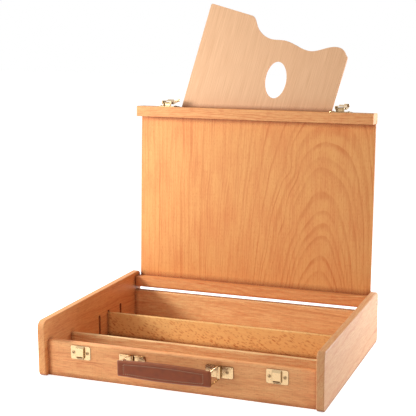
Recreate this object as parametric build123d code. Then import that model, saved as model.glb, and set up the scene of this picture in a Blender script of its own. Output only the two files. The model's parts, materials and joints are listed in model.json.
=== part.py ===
"""Pochade box: a beech sketch box with hinged lid, divider, palette, draw latches and handle.

Millimetres. X runs along the front, Y to the back, Z up. The origin is the middle of the underside of
the bottom panel. The lid, its latches and the palette are modelled with the lid closed and are then
swung open together about the pivot axis, because the open lid is the resting pose.
"""

from build123d import *
from math import cos, radians, sin, tan
import os

# ---- driving dimensions: box ----
WIDTH = 404.0
DEPTH = 300.0
SIDE_THICK = 10.5
RAIL_HEIGHT = 50.0
RAIL_THICK = 10.0
RAIL_SETBACK = 10.0
HOUSING = 4.0
FLOOR_THICK = 4.0
FLOOR_REBATE = 5.0
FRONT_TOP_RADIUS = 10.0
CORNER_RADIUS = 7.0
SOFT_EDGE = 0.9
RAIL_ROUND = 2.5

# ---- brush compartment ledge, divider slots and divider ----
LEDGE_FRONT = -77.0
LEDGE_THICK = 5.0
LEDGE_TOP = 41.5
LEDGE_HOUSING = 3.5
SLOT_CENTRES = (8.0, 37.0, 77.0)
DIVIDER_SLOT = 1
DIVIDER_THICK = 5.4
DIVIDER_HEIGHT = 35.0
SLOT_SIDE_CLEARANCE = 0.3
SLOT_DEPTH = 4.0
DIVIDER_HOLD = 2.0
SLOT_HEADROOM = 2.6
REST_GAP = 0.2

# ---- lid ----
LID_THICK = 27.5
LID_GAP = 0.4
TOP_RELIEF = 0.1
LID_END_GAP = 1.3
PIVOT_SETBACK = 8.0
PIVOT_RISE = 12.2
OPEN_ANGLE = 93.5
LID_FRONT_WIDTH = 16.0
LID_FRONT_ROUND = 3.0
LID_REAR_BEHIND = 7.9
LID_REAR_AHEAD = 8.4
LID_REAR_ROUND = 4.4
CHEEK_RISE = 5.0
PANEL_THICK = 3.2
PANEL_TONGUE = 5.0
SLOT_WALL = 2.1
PIVOT_DIA = 4.0
PIVOT_HEAD_DIA = 6.0
PIVOT_HEAD_THICK = 1.6
PIVOT_RECESS = 0.4
PIVOT_GRIP = 16.0
PIVOT_RUNNING = 0.1
HEAD_CLEARANCE = 0.4

# ---- palette ----
PALETTE_WIDTH = 234.5
PALETTE_LENGTH = 381.5
PALETTE_THICK = 3.4
PALETTE_TILT = 15.6
PALETTE_CORNER = 3.0
PALETTE_FACE_CLEARANCE = 0.15
PALETTE_EDGE_CLEARANCE = 1.8
PALETTE_SLOT_CENTRE = -3.2
THUMB_HOLE = (34.0, 56.0)
THUMB_HOLE_RIGHT = 98.0
THUMB_HOLE_DOWN = 82.5
THUMB_HOLE_LEAN = 5.0

# ---- catches and latches ----
FITTING_CENTRES = (-141.5, 138.0)
CATCH_WIDTH = 29.5
CATCH_HEIGHT = 19.0
CATCH_TOP_DROP = 3.4
SHEET = 0.8
BRIDGE_WIDTH = 11.0
BRIDGE_RISE = 4.0
BRIDGE_SKIRT = 2.4
CLAW_OPENING_HEIGHT = 2.0
CLAW_WIDTH = 8.0
CLAW_THICK = 1.2
CLAW_BITE = 0.5
CLAW_GAP = 0.4
CATCH_SCREW_X = 10.5
BASE_WIDTH = 31.0
BASE_HEIGHT = 21.0
BASE_BOTTOM = 2.5
BASE_THICK = 1.0
BASE_SCREW_X = 12.0
FITTING_CORNER = 2.5
EAR_OUTER = 6.2
EAR_THICK = 0.8
EAR_RADIUS = 1.9
LEVER_PIVOT = (6.2, 7.0)
HOOK_PIVOT = (5.5, 13.0)
LATCH_PIN_DIA = 2.0
PIN_RUNNING = 0.05
LEVER_GAP = 0.3
LEVER_SHEET = 0.9
LEVER_TOP = 9.5
LEVER_HEEL = 3.5
LEVER_END = 20.0
TAB_END = 24.0
TAB_WIDTH = 11.0
HOOK_SHEET = 0.9
HOOK_PLATE_OUT = 5.6
HOOK_PLATE_START = 13.0
HOOK_TAPER = 7.0
HOOK_FLIP = 178.0

# ---- handle ----
HANDLE_CENTRE = -2.4
KNUCKLE_SPREAD = 62.1
HANDLE_DROP = 15.4
BRACKET_WIDTH = 38.0
BRACKET_HEIGHT = 16.2
BRACKET_THICK = 1.2
BRACKET_RIM = 0.9
BRACKET_SCREW_X = 11.0
KNUCKLE_DIA = 5.0
RING_WIRE = 2.0
RING_REACH = 28.0
RING_HEIGHT = 18.6
RING_BEND = 1.6
RING_LEAN = 5.0
RING_SWING = 65.0
RING_RUNNING = 0.1
GRIP_OVERHANG = 3.0
GRIP_END_HEIGHT = 21.2
GRIP_MID_HEIGHT = 23.8
GRIP_LIFT = 0.7
GRIP_THICK = 9.0
GRIP_EDGE = 2.2
GRIP_NECK = 13.0
GRIP_BORE_CLEARANCE = 0.3

# ---- screws ----
SCREW_DIA = 2.4
SCREW_HEAD_DIA = 4.6
SCREW_HEAD_RISE = 1.0
SCREW_LENGTH = 8.0

# ---- derived places ----
HALF_WIDTH = WIDTH / 2
HALF_INSIDE = HALF_WIDTH - SIDE_THICK
HALF_RAIL = HALF_INSIDE + HOUSING
RAIL_FACE = DEPTH / 2 - RAIL_SETBACK
RAIL_BACK = RAIL_FACE - RAIL_THICK
FRONT_Y = -RAIL_FACE
LID_BOTTOM = RAIL_HEIGHT + LID_GAP
HEIGHT = LID_BOTTOM + LID_THICK + TOP_RELIEF
PIVOT_Y = DEPTH / 2 - PIVOT_SETBACK
PIVOT_Z = LID_BOTTOM + PIVOT_RISE
LID_REACH = PIVOT_Y - FRONT_Y
HALF_LID = HALF_INSIDE - LID_END_GAP
PALETTE_SLOT_THICK = PALETTE_THICK + 2 * PALETTE_FACE_CLEARANCE
PANEL_BACK = LID_THICK - SLOT_WALL - PALETTE_SLOT_THICK
PANEL_FACE = PANEL_BACK - PANEL_THICK
CHEEK_TOP = LID_REAR_AHEAD + CHEEK_RISE
SLOT_WIDTH = DIVIDER_THICK + 2 * SLOT_SIDE_CLEARANCE
DIVIDER_BOTTOM = FLOOR_THICK + REST_GAP
DIVIDER_TOP = DIVIDER_BOTTOM + DIVIDER_HEIGHT
CATCH_TOP = RAIL_HEIGHT - CATCH_TOP_DROP
CATCH_BOTTOM = CATCH_TOP - CATCH_HEIGHT
BRIDGE_BOTTOM = CATCH_BOTTOM + BRIDGE_SKIRT
LEVER_INNER = EAR_OUTER + LEVER_GAP
LEVER_OUTER = LEVER_INNER + LEVER_SHEET
HOOK_INNER = LEVER_OUTER + LEVER_GAP
HOOK_OUTER = HOOK_INNER + HOOK_SHEET
HANDLE_Z = RAIL_HEIGHT - HANDLE_DROP
KNUCKLE_OUT = BRACKET_THICK + KNUCKLE_DIA / 2 - 0.2
LEG_OUT = KNUCKLE_OUT + RING_REACH * cos(radians(RING_LEAN))
LEG_SHIFT = -RING_REACH * sin(radians(RING_LEAN))


def block(x0, x1, y0, y1, z0, z1):
    """A box between two corners."""
    return Pos((x0 + x1) / 2, (y0 + y1) / 2, (z0 + z1) / 2) * Box(x1 - x0, y1 - y0, z1 - z0)


def bar(profile, x0, x1):
    """Extrude a Y-Z profile along X."""
    return extrude(Plane.YZ.offset(x0) * profile, x1 - x0)


def outline(points):
    """A closed polygon from (y, z) points."""
    return make_face(Polyline(*points, close=True))


def lid_outline(points):
    """A closed polygon of the closed lid from (distance ahead of the pivot, height above inner face)."""
    return outline([(PIVOT_Y - ahead, LID_BOTTOM + rise) for ahead, rise in points])


def end_outline(points):
    """A closed polygon on the lid's front end from (distance out of its face, height above inner face)."""
    return outline([(FRONT_Y - out, LID_BOTTOM + rise) for out, rise in points])


def disc(out, rise, radius):
    """A Y-Z disc on the lid's front end."""
    return Pos(FRONT_Y - out, LID_BOTTOM + rise) * Circle(radius)


def front_plate(x, z, width, height, thick, corner):
    """A plate with rounded corners that lies on the front face."""
    face = Pos(x, z) * RectangleRounded(width, height, corner)
    return extrude(Plane.XZ.offset(-FRONT_Y) * face, thick)


def front_pin(x, z, radius, out, depth):
    """A round pin square to the front face, from 'out' in front of it to 'depth' inside it."""
    return extrude(Plane.XZ.offset(-FRONT_Y - depth) * (Pos(x, z) * Circle(radius)), depth + out)


def edges_at(shape, y, z, tolerance=0.05):
    """Edges along X whose middle lies at (y, z)."""
    found = []
    for edge in shape.edges().filter_by(Axis.X):
        middle = edge.center()
        if abs(middle.Y - y) < tolerance and abs(middle.Z - z) < tolerance:
            found.append(edge)
    return ShapeList(found)


def screw(x, z, seat):
    """A round-headed wood screw driven into the front face; 'seat' is the thickness under its head."""
    shank = front_pin(x, z, SCREW_DIA / 2, seat, SCREW_LENGTH)
    radius = SCREW_HEAD_DIA / 2
    ball = (radius ** 2 + SCREW_HEAD_RISE ** 2) / (2 * SCREW_HEAD_RISE)
    centre_out = seat + SCREW_HEAD_RISE - ball
    head = Pos(x, FRONT_Y - centre_out, z) * Sphere(ball)
    head = head & front_pin(x, z, radius, seat + SCREW_HEAD_RISE, -seat)
    return shank + head


def screw_hole(x, z):
    """The hole a screw fills, through a plate and into the wood."""
    return front_pin(x, z, SCREW_DIA / 2, BASE_THICK + BRACKET_THICK, SCREW_LENGTH)


# ---- base ----
def make_rail(face_y, back_y):
    """A front or back rail with its two top edges rounded."""
    low, high = sorted((face_y, back_y))
    rail = block(-HALF_RAIL, HALF_RAIL, low, high, 0, RAIL_HEIGHT)
    tops = edges_at(rail, low, RAIL_HEIGHT) + edges_at(rail, high, RAIL_HEIGHT)
    return fillet(tops, RAIL_ROUND)


def make_bottom_panel():
    """The plywood bottom, flush in a rebate all round."""
    half_x = HALF_INSIDE + FLOOR_REBATE
    half_y = RAIL_BACK + FLOOR_REBATE
    return block(-half_x, half_x, -half_y, half_y, 0, FLOOR_THICK)


def make_front_ledge():
    """The thin fixed board behind the narrow brush compartment, housed in both sides."""
    half = HALF_INSIDE + LEDGE_HOUSING
    back = LEDGE_FRONT + LEDGE_THICK
    ledge = block(-half, half, LEDGE_FRONT, back, FLOOR_THICK, LEDGE_TOP)
    tops = edges_at(ledge, LEDGE_FRONT, LEDGE_TOP) + edges_at(ledge, back, LEDGE_TOP)
    return fillet(tops, LEDGE_THICK / 5)


def make_side(housed):
    """The right side board: rounded outline, housings, round-topped divider slots, pivot hole."""
    face = Pos(0, HEIGHT / 2) * Rectangle(DEPTH, HEIGHT)
    by_front_top = face.vertices().sort_by(lambda v: v.Y - v.X)
    face = fillet([by_front_top[-1]], FRONT_TOP_RADIUS)
    corners = [v for v in face.vertices() if abs(v.X) == DEPTH / 2 and v.Y in (0, HEIGHT)]
    face = fillet(corners, CORNER_RADIUS)
    side = bar(face, HALF_INSIDE, HALF_WIDTH)
    rim = [e for e in side.edges() if abs(e.position_at(0).X - e.position_at(1).X) < SOFT_EDGE]
    side = chamfer(rim, SOFT_EDGE)
    for piece in housed:
        side = side - piece
    slot_end = HALF_INSIDE + SLOT_DEPTH
    slot_top = DIVIDER_TOP + SLOT_HEADROOM
    arch = slot_top - SLOT_WIDTH / 2
    for centre in SLOT_CENTRES:
        low = centre - SLOT_WIDTH / 2
        side = side - block(HALF_INSIDE - 1, slot_end, low, low + SLOT_WIDTH, FLOOR_THICK, arch)
        side = side - bar(Pos(centre, arch) * Circle(SLOT_WIDTH / 2), HALF_INSIDE - 1, slot_end)
    bore = Circle(PIVOT_DIA / 2 + PIVOT_RUNNING)
    side = side - bar(Pos(PIVOT_Y, PIVOT_Z) * bore, HALF_INSIDE - 1, HALF_WIDTH + 1)
    seat = HALF_WIDTH - PIVOT_RECESS - PIVOT_HEAD_THICK - PIVOT_RUNNING
    recess = Circle(PIVOT_HEAD_DIA / 2 + HEAD_CLEARANCE)
    return side - bar(Pos(PIVOT_Y, PIVOT_Z) * recess, seat, HALF_WIDTH + 1)


def make_divider():
    """The loose divider. It shifts endways in its deeper slots until one end is free to swing out."""
    half = HALF_INSIDE + DIVIDER_HOLD
    front = SLOT_CENTRES[DIVIDER_SLOT] - DIVIDER_THICK / 2
    back = front + DIVIDER_THICK
    divider = block(-half, half, front, back, DIVIDER_BOTTOM, DIVIDER_TOP)
    tops = edges_at(divider, front, DIVIDER_TOP) + edges_at(divider, back, DIVIDER_TOP)
    return fillet(tops, DIVIDER_THICK / 5)


# ---- lid, in its closed position ----
def lid_bar(points, half):
    """A lid rail: a profile of (distance ahead of the pivot, rise) points between the lid's ends."""
    return bar(lid_outline(points), -half, half)


def make_lid_panel():
    """The plywood panel, tongued into both lid rails."""
    rear = LID_REAR_AHEAD - PANEL_TONGUE
    front = LID_REACH - LID_FRONT_WIDTH + PANEL_TONGUE
    corners = [(rear, PANEL_FACE), (front, PANEL_FACE), (front, PANEL_BACK), (rear, PANEL_BACK)]
    return lid_bar(corners, HALF_LID)


def palette_slot_half():
    """Half the length of the slot that lets the tilted palette through the front rail."""
    tilt = radians(PALETTE_TILT)
    across = PALETTE_WIDTH / cos(tilt) + LID_FRONT_WIDTH * tan(tilt)
    return across / 2 + PALETTE_EDGE_CLEARANCE


def make_lid_front_rail(panel, holes):
    """The lid's front rail: panel groove, palette slot and a rounded outer edge."""
    rear = LID_REACH - LID_FRONT_WIDTH
    rail = lid_bar([(rear, 0), (LID_REACH, 0), (LID_REACH, LID_THICK), (rear, LID_THICK)], HALF_LID)
    rail = fillet(edges_at(rail, FRONT_Y, LID_BOTTOM + LID_THICK), LID_FRONT_ROUND)
    rail = fillet(edges_at(rail, FRONT_Y, LID_BOTTOM), SOFT_EDGE) - panel
    slot_half = palette_slot_half()
    slot = block(PALETTE_SLOT_CENTRE - slot_half, PALETTE_SLOT_CENTRE + slot_half, FRONT_Y - 1,
                 FRONT_Y + LID_FRONT_WIDTH + 1, LID_BOTTOM + PANEL_BACK,
                 LID_BOTTOM + PANEL_BACK + PALETTE_SLOT_THICK)
    rail = rail - slot
    for hole in holes:
        rail = rail - hole
    return rail


def make_lid_rear_rail(panel, pins):
    """The lid's rear rail, with a cheek behind the panel that the palette stands on."""
    profile = lid_outline([(-LID_REAR_BEHIND, 0), (LID_REAR_AHEAD, 0), (LID_REAR_AHEAD, PANEL_BACK),
                           (CHEEK_TOP, PANEL_BACK), (CHEEK_TOP, LID_THICK), (-LID_REAR_BEHIND, LID_THICK)])
    rail = bar(profile, -HALF_LID, HALF_LID)
    rear_y = PIVOT_Y + LID_REAR_BEHIND
    rail = fillet(edges_at(rail, rear_y, LID_BOTTOM), LID_REAR_ROUND)
    rail = fillet(edges_at(rail, rear_y, LID_BOTTOM + LID_THICK), LID_FRONT_ROUND) - panel
    for pin in pins:
        rail = rail - pin
    return rail


def make_pivot_screw():
    """The right pivot: a head sunk in the side board and a plain shank into the lid's rear rail."""
    head_out = HALF_WIDTH - PIVOT_RECESS
    at_pivot = Pos(PIVOT_Y, PIVOT_Z)
    shank = bar(at_pivot * Circle(PIVOT_DIA / 2), HALF_LID - PIVOT_GRIP, head_out)
    head = bar(at_pivot * Circle(PIVOT_HEAD_DIA / 2), head_out - PIVOT_HEAD_THICK, head_out)
    return shank + head


def make_palette():
    """The palette standing tilted in its slot: straight sides, a scooped top and a thumb hole."""
    w, h = PALETTE_WIDTH, PALETTE_LENGTH
    tilt = radians(PALETTE_TILT)
    shoulder = (0.31 * w, h)
    left_top = (PALETTE_CORNER, h)
    sweep = Spline(shoulder, (w * 0.36, h - 12.6), (w * 0.43, h - 24.1), (w * 0.48, h - 25.4),
                   (w * 0.56, h - 21.7), (w * 0.63, h - 22.6), (w * 0.7, h - 25.7), (w * 0.76, h - 25),
                   (w * 0.815, h - 19), (w * 0.88, h - 10.4), (w * 0.93, h - 7.9), (w * 0.968, h - 11.4),
                   (w * 0.99, h - 16.8), (w, h - 26), tangents=((1, -0.3), (0, -1)))
    edge = [Line((0, 0), (w, 0)), Line((w, 0), (w, h - 26)), sweep, Line(shoulder, left_top),
            Line(left_top, (0, 0.56 * h)), Line((0, 0.56 * h), (0, 0))]
    face = make_face(edge)
    square = [v for v in face.vertices() if v.Y < 1 or abs(v.X - left_top[0]) < 0.01]
    face = fillet(square, PALETTE_CORNER)
    hole = Ellipse(THUMB_HOLE[0] / 2, THUMB_HOLE[1] / 2)
    face = face - Pos(w - THUMB_HOLE_RIGHT, h - THUMB_HOLE_DOWN) * Rot(0, 0, THUMB_HOLE_LEAN) * hole
    seat = CHEEK_TOP + REST_GAP
    corner_drop = (w - PALETTE_CORNER) * sin(tilt) - PALETTE_CORNER * cos(tilt)
    ahead = seat + PALETTE_CORNER + corner_drop
    slot_middle = LID_REACH - LID_FRONT_WIDTH / 2
    along = (slot_middle - ahead + w / 2 * sin(tilt)) / cos(tilt)
    left = PALETTE_SLOT_CENTRE - w / 2 * cos(tilt) - along * sin(tilt)
    back = LID_BOTTOM + PANEL_BACK + PALETTE_FACE_CLEARANCE + PALETTE_THICK
    lie = Plane(origin=(left, PIVOT_Y - ahead, back), x_dir=(cos(tilt), sin(tilt), 0), z_dir=(0, 0, -1))
    return extrude(lie * face, PALETTE_THICK)


# ---- catches and draw latches, modelled about their own middle (X = 0) ----
def make_catch():
    """A catch plate with a pressed-up bridge, open below for the hook's claw."""
    middle = (CATCH_TOP + CATCH_BOTTOM) / 2
    plate = front_plate(0, middle, CATCH_WIDTH, CATCH_HEIGHT, SHEET, FITTING_CORNER)
    half = BRIDGE_WIDTH / 2
    top = CATCH_TOP
    slope = BRIDGE_RISE - SHEET
    y = FRONT_Y
    shell = outline([(y - SHEET / 2, BRIDGE_BOTTOM), (y - BRIDGE_RISE, BRIDGE_BOTTOM),
                     (y - BRIDGE_RISE, top - slope), (y - SHEET, top), (y - SHEET / 2, top)])
    bridge = bar(shell, -half, half)
    outer = edges_at(bridge, y - BRIDGE_RISE, top - slope)
    bridge = fillet(outer, SHEET)
    inside = outline([(y + 1, BRIDGE_BOTTOM - 1), (y - BRIDGE_RISE + SHEET, BRIDGE_BOTTOM - 1),
                      (y - BRIDGE_RISE + SHEET, top - slope - SHEET / 2), (y + 1, top - slope - SHEET / 2)])
    hollow = bar(inside, -half + SHEET, half - SHEET)
    opening = block(-half + SHEET / 2, half - SHEET / 2, y - SHEET - 0.1, y + 1,
                    BRIDGE_BOTTOM - CLAW_OPENING_HEIGHT, BRIDGE_BOTTOM)
    catch = plate + bridge - hollow - opening
    for side in (-1, 1):
        catch = catch - screw_hole(side * CATCH_SCREW_X, middle)
    return catch


def make_latch_base():
    """The latch's base plate with two ears for the lever's pin, joined behind by a low web."""
    middle = LID_BOTTOM + BASE_BOTTOM + BASE_HEIGHT / 2
    base = front_plate(0, middle, BASE_WIDTH, BASE_HEIGHT, BASE_THICK, FITTING_CORNER)
    out, rise = LEVER_PIVOT
    ear = end_outline([(BASE_THICK / 2, rise - EAR_RADIUS), (out, rise - EAR_RADIUS),
                       (out, rise + EAR_RADIUS), (BASE_THICK / 2, rise + EAR_RADIUS)])
    ear = ear + disc(out, rise, EAR_RADIUS) - disc(out, rise, LATCH_PIN_DIA / 2 + PIN_RUNNING)
    for side in (-1, 1):
        outer = side * EAR_OUTER
        low, high = sorted((outer, outer - side * EAR_THICK))
        base = base + bar(ear, low, high)
        base = base - screw_hole(side * BASE_SCREW_X, middle)
    web_top = out - LATCH_PIN_DIA / 2 - LEVER_GAP
    web = end_outline([(BASE_THICK / 2, rise + EAR_RADIUS - EAR_THICK), (web_top, rise + EAR_RADIUS - EAR_THICK),
                       (web_top, rise + EAR_RADIUS), (BASE_THICK / 2, rise + EAR_RADIUS)])
    return base + bar(web, -EAR_OUTER, EAR_OUTER)


def make_latch_lever():
    """The lever: an inverted channel over the ears that carries both pins, and a curled finger tab."""
    top_inside = LEVER_TOP - LEVER_SHEET
    low = LEVER_PIVOT[0] - EAR_RADIUS
    pin_low = HOOK_PIVOT[0] - LATCH_PIN_DIA * 0.75
    skirt = end_outline([(LEVER_TOP, LEVER_HEEL), (low, LEVER_HEEL), (pin_low, HOOK_PIVOT[1] - 2),
                         (pin_low, HOOK_PIVOT[1] + 1.5), (top_inside, LEVER_END), (LEVER_TOP, LEVER_END)])
    heel = [v for v in skirt.vertices() if abs(v.Y - LID_BOTTOM - LEVER_HEEL) < 0.01]
    skirt = fillet(heel, LEVER_SHEET)
    lever = bar(skirt, -LEVER_OUTER, LEVER_OUTER)
    cavity = block(-LEVER_INNER, LEVER_INNER, FRONT_Y - top_inside, FRONT_Y, LID_BOTTOM - 1,
                   LID_BOTTOM + LEVER_END + 1)
    lever = lever - cavity
    curl = 1.6
    tab = end_outline([(top_inside, LEVER_END - 1), (LEVER_TOP, LEVER_END - 1),
                       (LEVER_TOP + curl, TAB_END - 0.6), (LEVER_TOP + curl - 0.4, TAB_END),
                       (top_inside + curl - 0.2, TAB_END - 0.3), (top_inside, LEVER_END)])
    lever = lever + bar(tab, -TAB_WIDTH / 2, TAB_WIDTH / 2)
    lever = lever - bar(disc(*LEVER_PIVOT, LATCH_PIN_DIA / 2), -LEVER_OUTER - 1, LEVER_OUTER + 1)
    return lever - bar(disc(*HOOK_PIVOT, LATCH_PIN_DIA / 2), -LEVER_OUTER - 1, LEVER_OUTER + 1)


def make_latch_hook():
    """The hook in its latched position: two arms, a tapered plate and a claw bent into the catch."""
    out, rise = HOOK_PIVOT
    plate_out = HOOK_PLATE_OUT
    plate_in = plate_out - HOOK_SHEET
    start = rise - HOOK_PLATE_START
    claw_top = BRIDGE_BOTTOM - CLAW_GAP - LID_BOTTOM
    end = claw_top - CLAW_THICK
    lobe = LATCH_PIN_DIA
    arm = end_outline([(out + lobe, rise), (plate_out, start), (plate_out, start - 1.5),
                       (plate_in, start - 1.5), (plate_in, start + 1), (out - lobe, rise)])
    arm = arm + disc(out, rise, lobe) - disc(out, rise, LATCH_PIN_DIA / 2 + PIN_RUNNING)
    half_claw = CLAW_WIDTH / 2
    z0 = LID_BOTTOM
    shape = outline([(-HOOK_OUTER, z0 + start), (-HOOK_OUTER, z0 + start - 1.5),
                     (-half_claw, z0 + end + HOOK_TAPER), (-half_claw, z0 + end),
                     (half_claw, z0 + end), (half_claw, z0 + end + HOOK_TAPER),
                     (HOOK_OUTER, z0 + start - 1.5), (HOOK_OUTER, z0 + start)])
    hook = extrude(Plane.XZ.offset(-FRONT_Y + plate_in) * shape, HOOK_SHEET)
    claw = end_outline([(plate_out, end), (plate_out, end + CLAW_THICK), (CLAW_BITE, claw_top),
                        (CLAW_BITE, claw_top - CLAW_THICK)])
    hook = hook + bar(claw, -half_claw, half_claw)
    for side in (-1, 1):
        low, high = sorted((side * HOOK_INNER, side * HOOK_OUTER))
        hook = hook + bar(arm, low, high)
    return hook


def make_lever_pin():
    """The pin through the ears that the lever is peened to."""
    return bar(disc(*LEVER_PIVOT, LATCH_PIN_DIA / 2), -LEVER_OUTER, LEVER_OUTER)


def make_hook_pin():
    """The pin through the lever that the hook swings on."""
    return bar(disc(*HOOK_PIVOT, LATCH_PIN_DIA / 2), -HOOK_OUTER - 0.4, HOOK_OUTER + 0.4)


# ---- handle ----
def make_bracket():
    """A handle bracket: a plate with a raised top rim and an upright knuckle for the ring."""
    plate = front_plate(0, HANDLE_Z, BRACKET_WIDTH, BRACKET_HEIGHT, BRACKET_THICK, FITTING_CORNER)
    rim_z = HANDLE_Z + BRACKET_HEIGHT / 2 - 1.5
    rim = block(-BRACKET_WIDTH / 2 + 2, BRACKET_WIDTH / 2 - 2, FRONT_Y - BRACKET_THICK - BRACKET_RIM,
                FRONT_Y - BRACKET_THICK / 2, rim_z - 1, rim_z + 1)
    rim = chamfer(edges_at(rim, FRONT_Y - BRACKET_THICK - BRACKET_RIM, rim_z - 1), BRACKET_RIM - 0.1)
    centre = Pos(0, FRONT_Y - KNUCKLE_OUT, HANDLE_Z)
    knuckle = centre * Cylinder(KNUCKLE_DIA / 2, BRACKET_HEIGHT)
    bore = centre * Cylinder(RING_WIRE / 2 + RING_RUNNING, BRACKET_HEIGHT + 2)
    bracket = plate + rim + knuckle - bore
    for side in (-1, 1):
        bracket = bracket - screw_hole(side * BRACKET_SCREW_X, HANDLE_Z)
    return bracket


def make_ring():
    """A closed wire ring, leaning a little to the left. Its inner leg turns in the bracket's knuckle."""
    inner_y = FRONT_Y - KNUCKLE_OUT
    face = Plane.YZ * Pos(inner_y - RING_REACH / 2, HANDLE_Z) * Rectangle(RING_REACH, RING_HEIGHT)
    wire = fillet(face.vertices(), RING_BEND).face().outer_wire()
    section = Plane(origin=wire.position_at(0), z_dir=wire.tangent_at(0)) * Circle(RING_WIRE / 2)
    return sweep(section, path=wire).rotate(Axis((0, inner_y, 0), (0, 0, 1)), -RING_LEAN)


def wire_room():
    """Plan of the room a ring wire needs to swing behind its leg, which stands at the origin."""
    radius = RING_WIRE / 2 + GRIP_BORE_CLEARANCE
    across, back = sin(radians(RING_SWING)), cos(radians(RING_SWING))
    near = (radius * back, -radius * across)
    far = (near[0] + 1.6 * GRIP_THICK * across, near[1] + 1.6 * GRIP_THICK * back)
    return outline([near, far, (-far[0], far[1]), (-near[0], near[1])]) + Circle(radius)


def make_grip():
    """The leather grip: swollen in the middle, bored for the ring legs and cut back where the wires swing."""
    half = KNUCKLE_SPREAD + GRIP_OVERHANG
    neck = KNUCKLE_SPREAD - GRIP_NECK
    end = GRIP_END_HEIGHT / 2
    mid = GRIP_MID_HEIGHT / 2
    top = [Line((-half, end), (-neck, end)), ThreePointArc((-neck, end), (0, mid), (neck, end)),
           Line((neck, end), (half, end))]
    bottom = [mirror(edge, about=Plane.XZ) for edge in top]
    ends = [Line((-half, -end), (-half, end)), Line((half, -end), (half, end))]
    face = make_face(top + bottom + ends)
    middle = HANDLE_CENTRE + LEG_SHIFT
    out = -FRONT_Y + LEG_OUT - GRIP_THICK / 2
    leather = extrude(Plane.XZ.offset(out) * Pos(middle, HANDLE_Z + GRIP_LIFT) * face, GRIP_THICK)
    long_edges = [e for e in leather.edges() if e.geom_type != GeomType.LINE or abs(e.tangent_at(0).Y) < 0.5]
    leather = chamfer(long_edges, GRIP_EDGE)
    bore = Cylinder(RING_WIRE / 2 + GRIP_BORE_CLEARANCE, GRIP_MID_HEIGHT + 2)
    under_wire = (RING_HEIGHT - RING_WIRE) / 2 - GRIP_BORE_CLEARANCE
    room = Pos(0, 0, under_wire) * extrude(wire_room(), GRIP_MID_HEIGHT / 2)
    for side_sign in (-1, 1):
        leg = Pos(middle + side_sign * KNUCKLE_SPREAD, FRONT_Y - LEG_OUT, HANDLE_Z)
        leather = leather - leg * bore - leg * room - leg * mirror(room, about=Plane.XY)
    return leather


# ---- the assembly ----
def swing_open(shape):
    """Swing a closed lid piece open about the pivot axis."""
    return shape.rotate(Axis((0, PIVOT_Y, PIVOT_Z), (1, 0, 0)), -OPEN_ANGLE)


def flip_hook(shape):
    """Turn a latched hook back over its lever."""
    out, rise = HOOK_PIVOT
    return shape.rotate(Axis((0, FRONT_Y - out, LID_BOTTOM + rise), (1, 0, 0)), -HOOK_FLIP)


def mirrored(shape):
    """The left-hand copy of a right-hand piece."""
    return mirror(shape, about=Plane.YZ)


def build():
    """Every node of the box by name, in its resting pose."""
    nodes = {}
    latch_z = LID_BOTTOM + BASE_BOTTOM + BASE_HEIGHT / 2
    catch_z = (CATCH_TOP + CATCH_BOTTOM) / 2
    latch_screws = [screw(x + s * BASE_SCREW_X, latch_z, BASE_THICK)
                    for x in FITTING_CENTRES for s in (-1, 1)]
    catch_screws = [screw(x + s * CATCH_SCREW_X, catch_z, SHEET)
                    for x in FITTING_CENTRES for s in (-1, 1)]
    knuckles = [HANDLE_CENTRE - KNUCKLE_SPREAD, HANDLE_CENTRE + KNUCKLE_SPREAD]
    bracket_screws = [screw(x + s * BRACKET_SCREW_X, HANDLE_Z, BRACKET_THICK)
                      for x in knuckles for s in (-1, 1)]

    bottom = make_bottom_panel()
    front = make_rail(-RAIL_FACE, -RAIL_BACK) - bottom
    back = make_rail(RAIL_FACE, RAIL_BACK) - bottom
    ledge = make_front_ledge()
    side = make_side([front, back, ledge, bottom])
    for piece in catch_screws + bracket_screws:
        front = front - piece
    nodes["side_left"] = mirrored(side)
    nodes["side_right"] = side
    nodes["front_rail"] = front
    nodes["back_rail"] = back
    nodes["bottom_panel"] = bottom
    nodes["front_ledge"] = ledge
    nodes["divider"] = make_divider()
    nodes["catch_screws"] = Compound(catch_screws)
    nodes["bracket_screws"] = Compound(bracket_screws)
    nodes["handle_grip"] = make_grip()

    panel = make_lid_panel()
    pivot = make_pivot_screw()
    nodes["lid_panel"] = swing_open(panel)
    nodes["lid_front_rail"] = swing_open(make_lid_front_rail(panel, latch_screws))
    nodes["lid_rear_rail"] = swing_open(make_lid_rear_rail(panel, [pivot, mirrored(pivot)]))
    nodes["pivot_screw_left"] = swing_open(mirrored(pivot))
    nodes["pivot_screw_right"] = swing_open(pivot)
    nodes["palette"] = swing_open(make_palette())
    nodes["latch_screws"] = swing_open(Compound(latch_screws))

    makers = {"catch_plate": make_catch(), "latch_base": swing_open(make_latch_base()),
              "latch_lever": swing_open(make_latch_lever()),
              "latch_hook": swing_open(flip_hook(make_latch_hook())),
              "lever_pin": swing_open(make_lever_pin()), "hook_pin": swing_open(make_hook_pin())}
    bracket = make_bracket()
    ring = make_ring()
    for name, x, knuckle in zip(("left", "right"), FITTING_CENTRES, knuckles):
        for kind, shape in makers.items():
            nodes[f"{kind}_{name}"] = Pos(x, 0, 0) * shape
        nodes[f"handle_bracket_{name}"] = Pos(knuckle, 0, 0) * bracket
        nodes[f"handle_ring_{name}"] = Pos(knuckle, 0, 0) * ring
    return nodes


os.makedirs("parts", exist_ok=True)
for node, solid in build().items():
    export_step(solid, f"parts/{node}.step")
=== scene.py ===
import json
import math
import random

import bmesh
import bpy
from bpy.props import FloatProperty, FloatVectorProperty, PointerProperty
from mathutils import Matrix, Vector


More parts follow.
